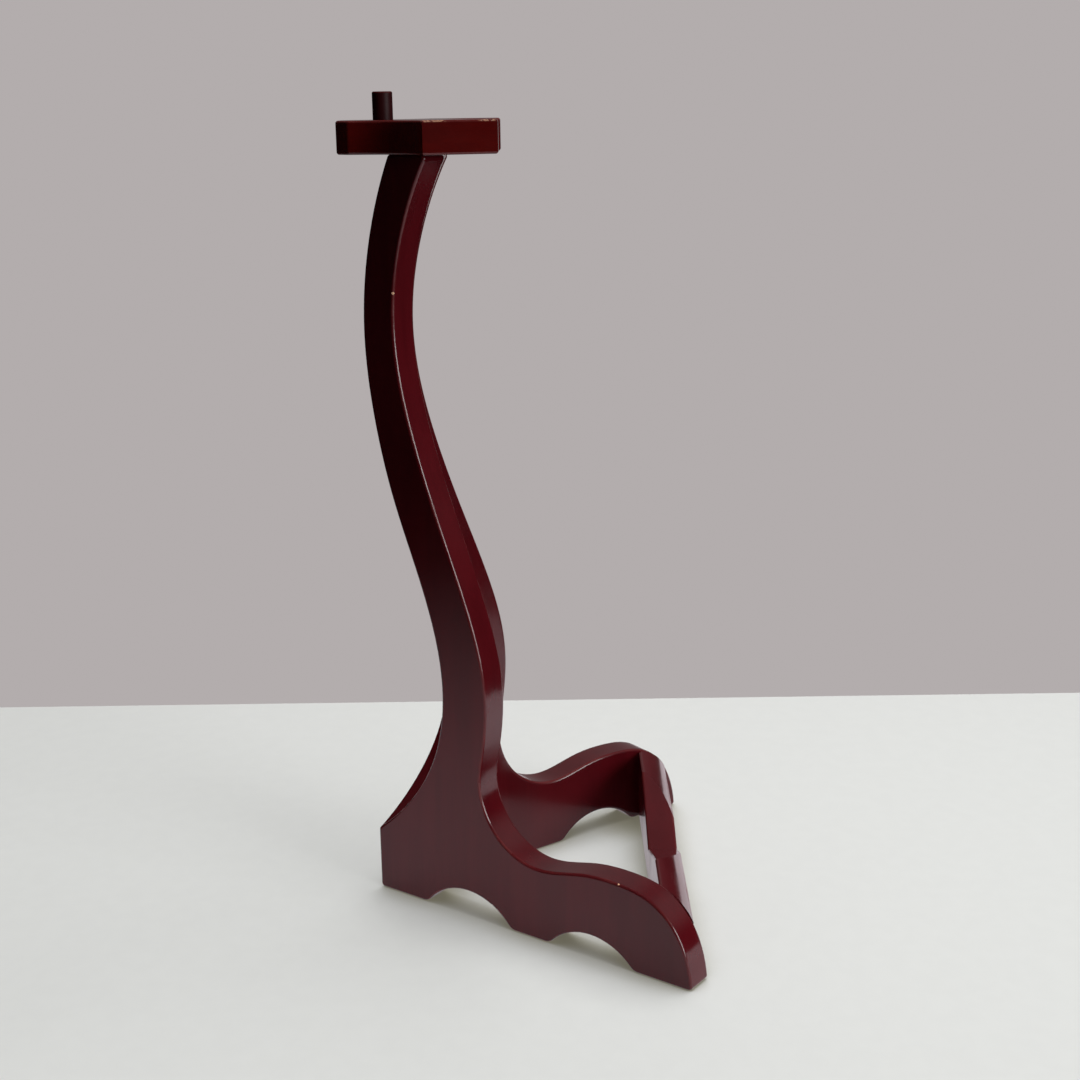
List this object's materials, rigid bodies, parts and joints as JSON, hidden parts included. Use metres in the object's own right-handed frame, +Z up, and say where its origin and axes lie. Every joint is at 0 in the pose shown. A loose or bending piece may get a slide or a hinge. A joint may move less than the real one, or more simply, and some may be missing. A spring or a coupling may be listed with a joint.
{
  "type": "lute stand",
  "caption": "Free-standing lacquered wooden stand for a pear-shaped lute: curved side boards in a V, a dipped crossbar and a forked head plate.",
  "frame": {"origin": "on the floor, under the middle of the stand's bounding box", "axes": "+Z up, -Y towards the front where the instrument stands, X = 0 is the plane of symmetry"},
  "size_m": [0.346, 0.261, 0.6304],
  "materials": {
    "lacquer_boards": "gloss lacquer over dark red stained hardwood",
    "lacquer_crossbar": "gloss lacquer over dark red stained hardwood",
    "lacquer_head": "gloss lacquer over dark red stained hardwood",
    "lacquer_peg": "gloss lacquer over dark red stained hardwood",
    "dowel_wood": "bare beech"
  },
  "bodies": {
    "root": {"left_side_board": "lacquer_boards", "right_side_board": "lacquer_boards", "crossbar": "lacquer_crossbar", "head_plate": "lacquer_head", "head_peg": "lacquer_peg", "foot_mitre_dowels": "dowel_wood", "column_mitre_dowels": "dowel_wood", "left_crossbar_dowels": "dowel_wood", "right_crossbar_dowels": "dowel_wood", "left_head_dowels": "dowel_wood", "right_head_dowels": "dowel_wood"}
  },
  "joints": []
}
